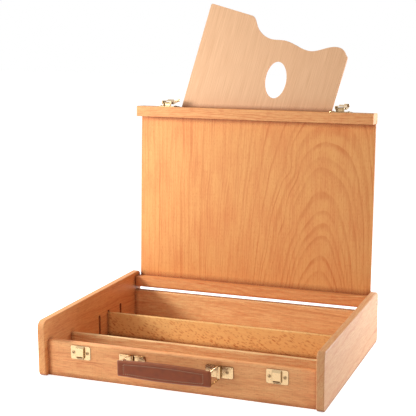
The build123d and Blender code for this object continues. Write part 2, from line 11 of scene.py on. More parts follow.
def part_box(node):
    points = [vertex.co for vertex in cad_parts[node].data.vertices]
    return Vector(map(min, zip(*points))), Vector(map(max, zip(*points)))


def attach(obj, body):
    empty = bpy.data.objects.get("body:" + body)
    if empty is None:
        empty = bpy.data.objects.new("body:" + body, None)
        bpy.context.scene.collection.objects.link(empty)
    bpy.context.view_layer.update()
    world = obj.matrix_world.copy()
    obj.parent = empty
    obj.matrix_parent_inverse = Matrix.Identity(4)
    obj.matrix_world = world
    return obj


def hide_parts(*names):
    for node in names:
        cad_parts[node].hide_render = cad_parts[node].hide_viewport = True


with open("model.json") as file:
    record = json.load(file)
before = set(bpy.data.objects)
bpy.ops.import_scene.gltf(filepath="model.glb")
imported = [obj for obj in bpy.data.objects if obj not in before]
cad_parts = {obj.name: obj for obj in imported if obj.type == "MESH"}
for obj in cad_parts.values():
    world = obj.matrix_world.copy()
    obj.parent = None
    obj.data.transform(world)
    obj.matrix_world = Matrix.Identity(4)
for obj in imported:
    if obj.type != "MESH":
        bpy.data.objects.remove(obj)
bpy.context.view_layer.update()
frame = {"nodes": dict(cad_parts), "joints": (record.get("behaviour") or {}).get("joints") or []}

bl_info = {
    "name": "Pochade Box",
    "version": (1, 0, 0),
    "blender": (4, 5, 0),
    "location": "View3D > Sidebar > Pochade Box",
    "description": "Beech, plywood, brass and leather finishes for a painter's box, with its studio",
    "category": "Object",
}

MM = 0.001
OPEN_ANGLE = -math.radians(next(j for j in frame["joints"] if j["name"] == "lid_hinge")["range_deg"][0])

# Directions at rest: across the box, front to back, up, and up the leaning lid.
RIGHT = Vector((1, 0, 0))
BACK = Vector((0, 1, 0))
UP = Vector((0, 0, 1))
LID_UP = Vector((0, -math.cos(OPEN_ANGLE), math.sin(OPEN_ANGLE)))
PALETTE_TILT = math.radians(15.6)

# The catches, in millimetres: their middles along the front, how far the rail's face and the bridges' faces stand
# before the box's middle, and the heights of the openings and of the painted shade at the bridges' feet.
CATCH_MIDDLES = (-141.5, 138.0)
RAIL_FACE = 140.0
BRIDGE_FACE = 144.0
OPENING_HEIGHT = 29.0
BRIDGE_SHADE_HEIGHT = 31.5

# Thickness of the two leaning sheets, in millimetres.
PANEL_THICK = 3.2
PALETTE_THICK = 3.4

# How far apart the boards are cut out of the endless noise, in millimetres, so that no two are alike.
BOARD_STEP = 137.0


def linear(code):
    """An sRGB hex colour as linear red, green and blue."""
    parts = [int(code[i:i + 2], 16) / 255 for i in (1, 3, 5)]
    return tuple(p / 12.92 if p <= 0.04045 else ((p + 0.055) / 1.055) ** 2.4 for p in parts)


def colour(title, about, code):
    """A colour property with its default."""
    return FloatVectorProperty(name=title, description=about, default=linear(code), subtype="COLOR",
                               size=3, min=0, max=1)


def length(title, about, millimetres):
    """A length property with its default."""
    return FloatProperty(name=title, description=about, default=millimetres * MM, unit="LENGTH", min=0)


def power(title, place, watts):
    """A lamp's power property with its default."""
    return FloatProperty(name=title, description="Power of the lamp at the " + place, default=watts, min=0,
                         unit="POWER")


class WoodSettings(bpy.types.PropertyGroup):
    """Colours and grain of the four woods."""

    beech_pale: colour("Beech early wood", "Pale wood between the growth rings of the boards", "#efb171")
    beech_front: colour("Front rail", "A paler board picked for the front", "#febf80")
    beech_inner: colour("Fresh beech", "Wood inside the box, which light has not yet deepened", "#fcd090")
    beech_ledge: colour("Ledge", "A straw-coloured board picked for the ledge", "#fee2a6")
    # The right side's colour is paler and greyer than the other boards, partly as painted sheen for the bright
    # light on its outer face.
    beech_side: colour("Right side", "A greyer board picked for the right side", "#e3b07a")
    stain: colour("Stain", "What a dark line leaves of the colour of the wood round it", "#e07c3f")
    # The next colour is painted shade, for the catches' openings in the front rail.
    opening_shade: colour("Scored wood", "Wood blackened by the hooks, in the openings of the catches", "#2a1a10")
    # The next colour is painted shade, for inside corners and the wood under the rails.
    corner_shade: colour("Corners", "What a dusty corner leaves of the colour of the wood round it", "#965a33")
    beech_dark: colour("Beech late wood", "Darker line that ends each growth ring", "#cf7434")
    beech_fleck: colour("Beech fleck", "Short ray flecks on the faces of the boards", "#b9581f")
    beech_ring: length("Beech ring", "Width of one growth ring in the boards", 4.2)
    veneer_pale: colour("Panel pale", "Pale wood of the lid panel's face veneer", "#ebab65")
    veneer_dark: colour("Panel dark", "Dark lines of the lid panel's face veneer", "#c65c12")
    veneer_ring: length("Panel line spacing", "Distance between the lines of the veneer", 6.5)
    divider_pale: colour("Divider pale", "Ground colour of the divider", "#f8ca82")
    divider_fleck: colour("Divider fleck", "Ray flecks of the divider", "#c05a12")
    palette_pale: colour("Palette pale", "Pale wood of the palette's face veneer", "#f4c599")
    palette_dark: colour("Palette dark", "Fine lines of the palette's face veneer", "#cf9668")
    edge_softness: length("Arris", "Width of the sanded arris on the boards", 0.5)


class BrassSettings(bpy.types.PropertyGroup):
    """Colour and edges of the brass-plated fittings."""

    plate: colour("Brass", "Colour of the polished plating", "#d4b58a")
    # The next colour is dull brass in pores and corners, and also painted shade in corners and on faces that look
    # down.
    tarnish_and_shade: colour("Dull brass", "Colour of the plating in corners and pores", "#5a3a1c")
    # The next colour is painted shade, for the feet of the catches' bridges.
    bridge_foot_shade: colour("Claw mark", "What the hook leaves at the foot of the bridge", "#4f2f17")
    edge_softness: length("Sheet edge", "Rounding of the stamped sheet's edges", 0.14)


class GripSettings(bpy.types.PropertyGroup):
    """Leather and stitching of the carrying grip."""

    leather: colour("Leather", "Dyed and polished face of the leather", "#944722")
    leather_dark: colour("Leather creases", "Darker dye in pores and stitched grooves", "#4f2619")
    leather_edge: colour("Leather edge", "Rubbed edges and folds", "#a8653f")
    thread: colour("Thread", "Waxed linen thread", "#dba57a")
    stitch_pitch: length("Stitch pitch", "Distance from one stitch to the next", 2.9)
    thread_width: length("Thread width", "Diameter of the thread", 1.0)
    seam_inset: length("Seam inset", "Distance of the seam from the long edges", 4.2)
    seam_end_inset: length("Seam end inset", "Distance of the seam from the ends", 9.5)
    crown: length("Crown", "How far the middle of the face stands above its border", 0.5)


class StageSettings(bpy.types.PropertyGroup):
    """Floor, lamps and camera."""

    floor: colour("Floor", "Colour of the floor", "#f4f2ef")
    floor_glow: FloatProperty(name="Floor glow", description="How much the floor glows for the eye", default=0.72,
                              min=0)
    key_power: power("Key lamp", "left", 4.6)
    fill_power: power("Fill lamp", "front", 1.6)
    side_power: power("Side lamp", "right", 5.4)
    surround: FloatProperty(name="Surround", description="Brightness of the studio around the box",
                            default=0.41, min=0)
    lens: FloatProperty(name="Lens", description="Focal length of the camera in millimetres", default=88.14,
                        min=1)


def node(tree, kind, links=None, **settings):
    """Add a shader node with its settings. links gives an input's name or number a value, a node or a socket."""
    made = tree.nodes.new("ShaderNode" + kind)
    for name, value in settings.items():
        setattr(made, name, value)
    shown = [s for s in made.inputs if s.enabled]
    for key, value in (links or {}).items():
        socket = shown[key] if isinstance(key, int) else next(s for s in shown if s.name == key)
        if isinstance(value, bpy.types.Node):
            value = next(s for s in value.outputs if s.enabled)
        if isinstance(value, bpy.types.NodeSocket):
            tree.links.new(value, socket)
        elif socket.type == "RGBA" and len(value) == 3:
            socket.default_value = (*value, 1)
        else:
            socket.default_value = value
    return made


def calc(tree, operation, *values):
    """A sum that the shader works out on numbers."""
    return node(tree, "Math", dict(enumerate(values)), operation=operation)


def vector(tree, operation, *values):
    """A sum that the shader works out on points or directions."""
    return node(tree, "VectorMath", dict(enumerate(values)), operation=operation)


def remap(tree, value, start, end, low=0.0, high=1.0, kind="LINEAR"):
    """A number that runs from low to high while a value runs from start to end, and is held beyond them."""
    return node(tree, "MapRange", {"Value": value, "From Min": start, "From Max": end, "To Min": low,
                                   "To Max": high}, interpolation_type=kind)


def mix(tree, share, first, second, blend="MIX"):
    """The first colour with that share of the second."""
    return node(tree, "Mix", {"Factor": share, "A": first, "B": second}, data_type="RGBA", blend_type=blend)


def new_material(name):
    """An empty node material and its tree."""
    material = bpy.data.materials.new(name)
    material.use_nodes = True
    material.node_tree.nodes.clear()
    return material, material.node_tree


def surface(tree, inputs):
    """Show a principled surface with these inputs."""
    node(tree, "OutputMaterial", {"Surface": node(tree, "BsdfPrincipled", inputs)})


# ---- wood ----
def grain_space(tree, along, across, start=(0, 0, 0)):
    """The point on the piece in millimetres: x along the grain, y across it and z through the thickness."""
    turn = Matrix((along, across, along.cross(across))).to_euler()
    place = node(tree, "TexCoord").outputs["Object"]
    return node(tree, "Mapping", {"Vector": place, "Rotation": turn, "Scale": (1 / MM,) * 3, "Location": start})


def sheet_space(tree, along, across, middle):
    """The grain's point of a sheet, measured from the sheet's middle."""
    turn = Matrix((along, across, along.cross(across)))
    return grain_space(tree, along, across, tuple(-c / MM for c in turn @ Vector(middle)))


def streaks(tree, grain, size, detail=2.0, roughness=0.55):
    """Noise drawn out to streaks of that length, width and thickness in millimetres."""
    drawn = node(tree, "Mapping", {"Vector": grain, "Scale": [1 / s for s in size]})
    return node(tree, "TexNoise", {"Vector": drawn, "Scale": 1.0, "Detail": detail, "Roughness": roughness})


def wavy(tree, grain, size, reach, roughness=0.55):
    """The grain's point pushed about by slow noise of that size, by at most half of reach, so lines wander."""
    noise = streaks(tree, grain, size, roughness=roughness).outputs["Color"]
    push = vector(tree, "SUBTRACT", noise, (0.5, 0.5, 0.5))
    return node(tree, "SeparateXYZ", {0: vector(tree, "MULTIPLY_ADD", push, reach, grain)})


def flecks(tree, grain, size, share, lean=0.0):
    """Ray flecks as short soft lenses, some faint, one to a cell of that size in that share of the cells."""
    turned = node(tree, "Mapping", {"Vector": grain, "Rotation": (0, 0, lean)})
    drawn = node(tree, "Mapping", {"Vector": turned, "Scale": [1 / s for s in size]})
    cells = node(tree, "TexVoronoi", {"Vector": drawn, "Scale": 1.0, "Randomness": 0.9})
    inside = remap(tree, cells.outputs["Distance"], 0.45, 0.2, kind="SMOOTHSTEP")
    lot = node(tree, "SeparateColor", {0: cells.outputs["Color"]})
    strong = calc(tree, "POWER", remap(tree, lot, 1 - share, 1.0), 0.5)
    return calc(tree, "MULTIPLY", inside, strong)


def dashes(tree, grain, size, low, high):
    """Brown dashes along the grain with tapered ends, from streaks of that size above a threshold."""
    return remap(tree, streaks(tree, grain, size, 1.0, 0.4), low, high, kind="SMOOTHSTEP")


def ring_lines(tree, radius, spacing, wander):
    """The darker line that ends each growth ring, from the distance to the heart in millimetres. The rings vary in
    width and each line has a strength of its own."""
    ring = calc(tree, "DIVIDE", radius, spacing)
    uneven = node(tree, "TexNoise", {"W": ring, "Scale": 0.5, "Detail": 1.0}, noise_dimensions="1D")
    ring = calc(tree, "MULTIPLY_ADD", uneven, wander, ring)
    phase = calc(tree, "FRACT", ring)
    rise = remap(tree, phase, 0.32, 0.88, kind="SMOOTHERSTEP")
    fall = remap(tree, phase, 1.0, 0.9, kind="SMOOTHSTEP")
    own = node(tree, "TexWhiteNoise", {"W": calc(tree, "FLOOR", ring)}, noise_dimensions="1D")
    own = remap(tree, own, 0, 1, 0.25, 1.0)
    return calc(tree, "MULTIPLY", calc(tree, "MULTIPLY", rise, fall), own)


def shaded(tree, face, value, depth, low=0.56, high=0.3, stain=None):
    """A wood colour stained browner, by up to that depth, as a value runs from low to high."""
    stain = stain or bpy.context.scene.pochade_wood.stain
    return mix(tree, remap(tree, value, low, high, 0, depth), face, stain, "MULTIPLY")


def oblong(tree, place, middle, reach):
    """1 within a small block about its middle and 0 outside; its reach is half its size along each axis."""
    away = vector(tree, "DIVIDE", vector(tree, "SUBTRACT", place, middle), reach)
    away = node(tree, "SeparateXYZ", {0: vector(tree, "ABSOLUTE", away)})
    far = calc(tree, "MAXIMUM", away.outputs["X"], away.outputs["Y"])
    far = calc(tree, "MAXIMUM", far, away.outputs["Z"])
    return remap(tree, far, 1.1, 0.9)


def finish_wood(tree, face, pores, relief, rough=0.4, corner=7, full=0.25):
    """The oiled surface over a wood colour: satin, rougher over the pores, with the grain just felt. Painted shade
    browns the inside corners and the wood under the rails over corner millimetres, and all the way where a point
    is open by less than full."""
    # Painted shade in inside corners and under the rails, from how open each point is.
    open_air = node(tree, "AmbientOcclusion", {"Distance": corner * MM}, samples=2).outputs["AO"]
    face = shaded(tree, face, open_air, 1.0, 0.85, full, bpy.context.scene.pochade_wood.corner_shade)
    shine = remap(tree, pores, 0, 1, rough, rough + 0.14)
    bump = node(tree, "Bump", {"Height": relief, "Strength": 0.1, "Distance": 0.08 * MM})
    surface(tree, {
        "Base Color": face, "Roughness": shine, "IOR": 1.5, "Specular IOR Level": 0.32, "Normal": bump,
        "Coat Weight": 0.08, "Coat Roughness": 0.35, "Coat IOR": 1.48})


def beech_board(board, along, across, pith, seed, pale, lean=0.0, contrast=0.6, opening_shade=()):
    """Solid beech, planed, sanded and oiled. Growth rings run through the board as in the tree, so the faces
    show long soft lines and the ends show arcs; a fine pore streak and short brown ray flecks lie along the
    grain. pith is the tree's heart, across and through the board in millimetres; pale is this board's early
    wood; lean is how far the lines drift; opening_shade is where the catches' openings get painted shade."""
    wood = bpy.context.scene.pochade_wood
    material, tree = new_material("Beech, planed and oiled, " + board)
    start = seed * BOARD_STEP
    grain = grain_space(tree, along, across, (start, 0, 0))
    parts = wavy(tree, grain, (170, 40, 40), (0, 22, 22))
    drifted = calc(tree, "MULTIPLY_ADD", parts.outputs["X"], lean, parts.outputs["Y"])
    from_heart = node(tree, "CombineXYZ", {"Y": calc(tree, "ADD", drifted, pith[0]),
                                           "Z": calc(tree, "ADD", parts.outputs["Z"], pith[1])})
    radius = vector(tree, "LENGTH", from_heart).outputs["Value"]
    late = ring_lines(tree, radius, wood.beech_ring / MM, 2.2)
    strength = remap(tree, streaks(tree, grain, (120, 12, 12)), 0.3, 0.7, 0.35 * contrast, contrast)
    late = calc(tree, "MULTIPLY", late, strength)
    body = mix(tree, late, pale, wood.beech_dark)
    # Real pores are about 0.06 mm wide; the streaks are drawn 0.9 and 1.7 mm wide so that they show.
    pores = streaks(tree, grain, (12, 0.9, 0.9), 3.0, 0.6)
    body = shaded(tree, body, pores, 0.42)
    body = shaded(tree, body, streaks(tree, grain, (30, 1.7, 1.7)), 0.2)
    body = shaded(tree, body, streaks(tree, grain, (240, 16, 16)), 0.12)
    # Ray flecks are 2 to 4 mm long and 0.2 mm wide in the wood, and are drawn three times as wide here.
    fleck = calc(tree, "MULTIPLY", flecks(tree, grain, (3.4, 0.85, 0.85), 0.6), 0.4)
    dash = calc(tree, "MULTIPLY", dashes(tree, grain, (13, 1.5, 1.5), 0.54, 0.74), 0.24)
    face = mix(tree, calc(tree, "MAXIMUM", fleck, dash), body, wood.beech_fleck)
    # Painted shade in the catches' openings, where the slots behind the claws lie in shadow.
    for x in opening_shade:
        black = oblong(tree, grain, (x + start, OPENING_HEIGHT, RAIL_FACE), (5.4, 1.3, 2))
        face = mix(tree, black, face, wood.opening_shade)
    finish_wood(tree, face, pores, calc(tree, "SUBTRACT", pores, late))
    return material


def plies(tree, face, grain, thick):
    """The veneers of a plywood sheet, seen on its edges: a darker cross ply between two thin glue lines."""
    away = calc(tree, "ABSOLUTE", node(tree, "SeparateXYZ", {0: grain}).outputs["Z"])
    core, glue = thick / 5, 0.06
    inner = remap(tree, away, core + glue, core - glue)
    return mix(tree, inner, face, bpy.context.scene.pochade_wood.veneer_dark)


def bell(tree, value):
    """1 where the value is 0, dying away smoothly within about 2 on either side."""
    return calc(tree, "EXPONENT", calc(tree, "MULTIPLY", calc(tree, "MULTIPLY", value, value), -1.0))


def panel_ply(name, along, across, middle, thick, cone, swells=()):
    """Beech-faced plywood, rotary cut and sanded: a soft flat-sawn figure of nested arches beside straight
    grain, as in a slightly conical tree cut near its heart. cone is the arches' centre line, their reach to the
    left and right, how blunt they are and how fast they climb. Each swell crowds the lines round one place: its
    centre line, its reach to the left and right, its strength, its reach up and down and its height."""
    wood = bpy.context.scene.pochade_wood
    material, tree = new_material(name)
    grain = sheet_space(tree, along, across, middle)
    parts = wavy(tree, grain, (120, 46, 400), (16, 16, 0), 0.4)

    def beside(centre, left, right):
        """The way across from a centre line, and 1 on that line, dying away over its reach to each side."""
        aside = calc(tree, "ADD", parts.outputs["Y"], -centre)
        reach = remap(tree, aside, -15, 15, left, right, kind="SMOOTHSTEP")
        return aside, bell(tree, calc(tree, "DIVIDE", aside, reach))

    centre, left, right, blunt, climb = cone
    aside, near = beside(centre, left, right)
    rings = calc(tree, "SQRT", calc(tree, "MULTIPLY_ADD", aside, aside, blunt * blunt))
    lift = calc(tree, "MULTIPLY", parts.outputs["X"], climb)
    rings = calc(tree, "MULTIPLY_ADD", lift, near, rings)
    for centre, left, right, strength, tall, height in swells:
        near = calc(tree, "MULTIPLY", beside(centre, left, right)[1], strength)
        up = calc(tree, "DIVIDE", calc(tree, "ADD", parts.outputs["X"], -height), tall)
        rings = calc(tree, "MULTIPLY_ADD", near, bell(tree, up), rings)
    late = ring_lines(tree, rings, wood.veneer_ring / MM, 2.0)
    strength = remap(tree, streaks(tree, grain, (110, 24, 400)), 0.3, 0.7, 0.06, 0.62)
    late = calc(tree, "MULTIPLY", late, strength)
    body = mix(tree, late, wood.veneer_pale, wood.veneer_dark)
    # Vessel lines of about 0.1 mm, drawn 1 mm wide and shorter than real so that they show.
    pores = streaks(tree, grain, (6, 1.0, 400), roughness=0.6)
    body = shaded(tree, body, pores, 0.22)
    body = shaded(tree, body, streaks(tree, grain, (60, 2.0, 400)), 0.24)
    body = shaded(tree, body, streaks(tree, grain, (80, 30, 400)), 0.2)
    fleck = calc(tree, "MULTIPLY", flecks(tree, grain, (5.0, 1.4, 400), 0.4), 0.3)
    face = plies(tree, mix(tree, fleck, body, wood.veneer_dark), grain, thick)
    # Wider and deeper painted shade on the plywood, for the shade under the lid's top rail.
    finish_wood(tree, face, pores, calc(tree, "SUBTRACT", pores, late), rough=0.42, corner=10,
                full=0.42)
    return material


def fine_ply(name, along, across, middle, thick):
    """Thin hardwood plywood, sanded and oiled: straight, close, slightly wavy lines along the palette."""
    wood = bpy.context.scene.pochade_wood
    material, tree = new_material(name)
    grain = sheet_space(tree, along, across, middle)
    # Pore lines of about 0.2 mm, drawn 1 mm wide so that they show.
    pores = streaks(tree, grain, (50, 1.0, 400), 3.0, 0.6)
    bands = streaks(tree, grain, (320, 7, 400), roughness=0.5)
    pore_share, band_share = 0.78, 0.22
    blend = calc(tree, "MULTIPLY_ADD", bands, band_share, calc(tree, "MULTIPLY", pores, pore_share))
    line = remap(tree, blend, 0.34, 0.68, 0, 0.56)
    body = mix(tree, line, wood.palette_pale, wood.palette_dark)
    finish_wood(tree, plies(tree, body, grain, thick), pores, pores, rough=0.42)
    return material


def flecked_beech(name, along, across):
    """Beech cut close to the rays and planed: an even orange ground strewn with brown lens-shaped flecks."""
    wood = bpy.context.scene.pochade_wood
    material, tree = new_material(name)
    grain = grain_space(tree, along, across)
    # Pores of about 0.06 mm, drawn 0.8 mm wide so that they show.
    pores = streaks(tree, grain, (20, 0.8, 0.8), 3.0, 0.6)
    body = shaded(tree, wood.divider_pale, pores, 0.22)
    # The flecks are 2 to 6 mm long, crowd together in patches and fade towards the top of the board.
    large = flecks(tree, grain, (11, 3.4, 3.4), 0.8, math.radians(30))
    small = flecks(tree, grain, (5.4, 2.1, 2.1), 0.75, math.radians(22))
    height = node(tree, "SeparateXYZ", {0: grain}).outputs["Y"]
    deep = remap(tree, height, 20, 42, 0.8, 0.35)
    crowd = remap(tree, streaks(tree, grain, (60, 20, 20)), 0.36, 0.54, 0.5, 1.0)
    both = calc(tree, "MAXIMUM", large, small)
    both = calc(tree, "MULTIPLY", both, calc(tree, "MULTIPLY", crowd, deep))
    face = mix(tree, both, body, wood.divider_fleck)
    finish_wood(tree, face, pores, pores)
    return material


# ---- brass, leather and thread ----
def plated_brass(name, wear, tinted=()):
    """Stamped steel, brass plated and polished: a pale yellow mirror, slightly cloudy, with dull specks and
    softened edges, and painted shade on faces that look down. The screws are tumbled and not polished, so they
    are duller by that wear; tinted is where the feet of the bridges along the front get painted shade."""
    brass = bpy.context.scene.pochade_brass
    material, tree = new_material(name)
    coordinates = node(tree, "TexCoord")
    place = coordinates.outputs["Object"]
    # Polishing haze of a few tenths of a millimetre, drawn at 2 mm.
    haze = node(tree, "TexNoise", {"Vector": place, "Scale": 0.5 / MM, "Detail": 4.0})
    dull = remap(tree, haze, 0.55, 0.85, wear, wear + 0.25)
    # Polishing paste and shade gather in the corners of the folded sheet.
    open_air = node(tree, "AmbientOcclusion", {"Distance": 3 * MM}, samples=4).outputs["AO"]
    dull = calc(tree, "MAXIMUM", dull, remap(tree, open_air, 0.92, 0.4, 0, 0.97))
    # Painted shade: faces that look down are darkened towards the dull brass colour.
    facing = node(tree, "SeparateXYZ", {0: coordinates.outputs["Normal"]}).outputs["Z"]
    dull = calc(tree, "MAXIMUM", dull, remap(tree, facing, -0.2, -0.85, 0, 0.75))
    face = mix(tree, dull, brass.plate, brass.tarnish_and_shade)
    # Painted shade at the feet of the bridges along the front, where the slots under them lie in shadow.
    for x in tinted:
        front = grain_space(tree, RIGHT, UP)
        black = oblong(tree, front, (x, BRIDGE_SHADE_HEIGHT, BRIDGE_FACE), (4.7, 0.95, 2))
        face = mix(tree, black, face, brass.bridge_foot_shade)
    shine = remap(tree, haze, 0.3, 0.75, 0.14, 0.34)
    ripple = node(tree, "TexNoise", {"Vector": place, "Scale": 0.16 / MM, "Detail": 2.0})
    bump = node(tree, "Bump", {"Height": ripple, "Strength": 0.25, "Distance": 0.25 * MM})
    surface(tree, {"Base Color": face, "Metallic": 1.0, "Roughness": shine, "Normal": bump})
    return material


def polished_leather():
    """Cowhide, dyed brown and polished: a fine pebbled grain, darker in the stitched groove, lighter where
    edges and folds are rubbed."""
    grip = bpy.context.scene.pochade_grip
    material, tree = new_material("Cowhide, dyed and polished")
    place = node(tree, "TexCoord").outputs["Object"]
    # Pebbles of the hide are 0.3 to 0.5 mm wide, drawn at 0.8 mm.
    pebble = node(tree, "TexVoronoi", {"Vector": place, "Scale": 1.25 / MM, "Randomness": 0.9},
                  feature="SMOOTH_F1")
    mottle = node(tree, "TexNoise", {"Vector": place, "Scale": 0.12 / MM, "Detail": 4.0})
    worn = node(tree, "Attribute", attribute_name="tinted").outputs["Fac"]
    sunk = node(tree, "Attribute", attribute_name="sunk").outputs["Fac"]
    face = mix(tree, remap(tree, mottle, 0.3, 0.75, 0, 0.45), grip.leather, grip.leather_dark)
    face = mix(tree, worn, face, grip.leather_edge)
    face = mix(tree, sunk, face, grip.leather_dark)
    shine = remap(tree, mottle, 0, 1, 0.34, 0.5)
    bump = node(tree, "Bump", {"Height": pebble.outputs["Distance"], "Strength": 0.5, "Distance": 0.1 * MM})
    surface(tree, {
        "Base Color": face, "Roughness": shine, "IOR": 1.48, "Specular IOR Level": 0.3, "Normal": bump,
        "Coat Weight": 0.05, "Coat Roughness": 0.3})
    return material


def linen_thread():
    """Linen thread, twisted and waxed: pale brown strands with a low sheen."""
    grip = bpy.context.scene.pochade_grip
    material, tree = new_material("Linen thread, twisted and waxed")
    place = node(tree, "TexCoord").outputs["Object"]
    # A strand's twist repeats every 0.6 mm.
    strand = node(tree, "TexWave", {"Vector": place, "Scale": 0.28 / MM, "Distortion": 2.0, "Detail": 2.0},
                  bands_direction="DIAGONAL").outputs["Fac"]
    face = node(tree, "HueSaturation", {"Value": remap(tree, strand, 0, 1, 0.75, 1.1), "Color": grip.thread})
    bump = node(tree, "Bump", {"Height": strand, "Strength": 0.5, "Distance": 0.08 * MM})
    surface(tree, {"Base Color": face, "Roughness": 0.6, "IOR": 1.5, "Sheen Weight": 0.2, "Normal": bump})
    return material


# ---- pieces ----
def clothe(names, material):
    """Give these CAD nodes a material."""
    for name in names:
        for slot in frame["nodes"][name].material_slots:
            slot.material = material


def soften(names, width):
    """Round the sharp arrises of these CAD nodes by modifiers, without touching their meshes."""
    for name in names:
        piece = frame["nodes"][name]
        weld = piece.modifiers.new("Joined faces", "WELD")
        weld.merge_threshold = 0.002 * MM
        arris = piece.modifiers.new("Arris", "BEVEL")
        arris.width = width
        arris.segments = 2
        arris.limit_method = "ANGLE"
        arris.angle_limit = math.radians(40)
        arris.use_clamp_overlap = True
        arris.miter_outer = "MITER_ARC"
        smooth = piece.modifiers.new("Even shading", "WEIGHTED_NORMAL")
        smooth.keep_sharp = True
        smooth.weight = 100


def as_piece(name, mesh, material, body):
    """A new mesh piece that rides on a body."""
    mesh.name = name
    mesh.materials.clear()
    mesh.materials.append(material)
    piece = bpy.data.objects.new(name, mesh)
    bpy.context.scene.collection.objects.link(piece)
    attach(piece, body)
    return piece


def as_mesh(mesh, name, smooth=False):
    """Mesh data of that name from closed shells, with their faces turned outward."""
    bmesh.ops.recalc_face_normals(mesh, faces=mesh.faces)
    for face in mesh.faces:
        face.smooth = smooth
    made = bpy.data.meshes.new(name)
    mesh.to_mesh(made)
    mesh.free()
    return made


def circle(count):
    """Points evenly round a circle of radius 1."""
    return [(math.cos(2 * math.pi * k / count), math.sin(2 * math.pi * k / count)) for k in range(count)]


def join_rings(mesh, rings, start=None):
    """Faces between each ring of vertices and the next, and over both ends; the start is a point or flat."""
    for a, b in zip(rings, rings[1:]):
        for k in range(len(a)):
            mesh.faces.new((a[k - 1], a[k], b[k], b[k - 1]))
    if start is None:
        mesh.faces.new(rings[0])
    else:
        for k in range(len(rings[0])):
            mesh.faces.new((start, rings[0][k - 1], rings[0][k]))
    mesh.faces.new(list(reversed(rings[-1])))


def carved(mesh, cutter):
    """A mesh less a cutter mesh, both in the row frame."""
    block = bpy.data.objects.new("block", mesh)
    tool = bpy.data.objects.new("tool", cutter)
    for piece in (block, tool):
        bpy.context.scene.collection.objects.link(piece)
    cut = block.modifiers.new("Cut", "BOOLEAN")
    cut.operation = "DIFFERENCE"
    cut.solver = "EXACT"
    cut.object = tool
    bpy.context.view_layer.update()
    result = bpy.data.meshes.new_from_object(block.evaluated_get(bpy.context.evaluated_depsgraph_get()))
    for piece in (block, tool):
        bpy.data.objects.remove(piece)
    return result


# ---- leather grip ----
def smoothstep(value):
    """0 below 0, 1 above 1 and a smooth rise between."""
    value = min(max(value, 0.0), 1.0)
    return value * value * (3 - 2 * value)


class GripForm:
    """The grip's outline in millimetres, read from the CAD solid it replaces."""

    end_share = 21.2 / 23.8  # height of the straight ends over the height of the middle
    neck = 49.1  # half the length of the swollen middle
    fold = 3.0  # length of each folded end
    corner = 3.0  # radius of the long edges
    bore_inset = 3.0  # from each end to the middle of its wire's bore
    bore_radius = 1.3
    lift = 0.7  # how far the grip's middle stands above the middle of the wires
    under_wire = 8.0  # from the wires' middle to the floor of each rebate
    swing = math.radians(65)
    crown_reach = 4.5  # how far inside the seam the face has risen to its crown
    groove_reach = 0.62
    groove_depth = 0.5

    def __init__(self):
        low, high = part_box("handle_grip")
        self.middle = (low + high) / 2
        self.half_length = (high.x - low.x) / 2 / MM
        self.half_thick = (high.y - low.y) / 2 / MM
        self.half_mid = (high.z - low.z) / 2 / MM
        self.half_end = self.half_mid * self.end_share
        rise = self.half_mid - self.half_end
        self.swell = (self.neck ** 2 + rise ** 2) / (2 * rise)

    def half_height(self, x):
        """Half the grip's height at x from the middle."""
        if abs(x) > self.neck:
            return self.half_end
        return self.half_mid - (self.swell - math.sqrt(self.swell ** 2 - x * x))

    def seam_distance(self, x, z, settings):
        """Signed distance from the stitched rectangle, negative inside it."""
        away_x = abs(x) - (self.half_length - settings.seam_end_inset / MM)
        away_z = abs(z) - (self.half_height(x) - settings.seam_inset / MM)
        outside = math.hypot(max(away_x, 0), max(away_z, 0))
        return outside + min(max(away_x, away_z), 0)

    def face_drop(self, x, z, settings):
        """How far the face lies below the grip's full thickness, and how deep in the groove it is."""
        distance = self.seam_distance(x, z, settings)
        crown = settings.crown / MM
        border = crown * (1 - smoothstep(-distance / self.crown_reach))
        groove = math.exp(-(distance / self.groove_reach) ** 2)
        return border + self.groove_depth * groove, groove


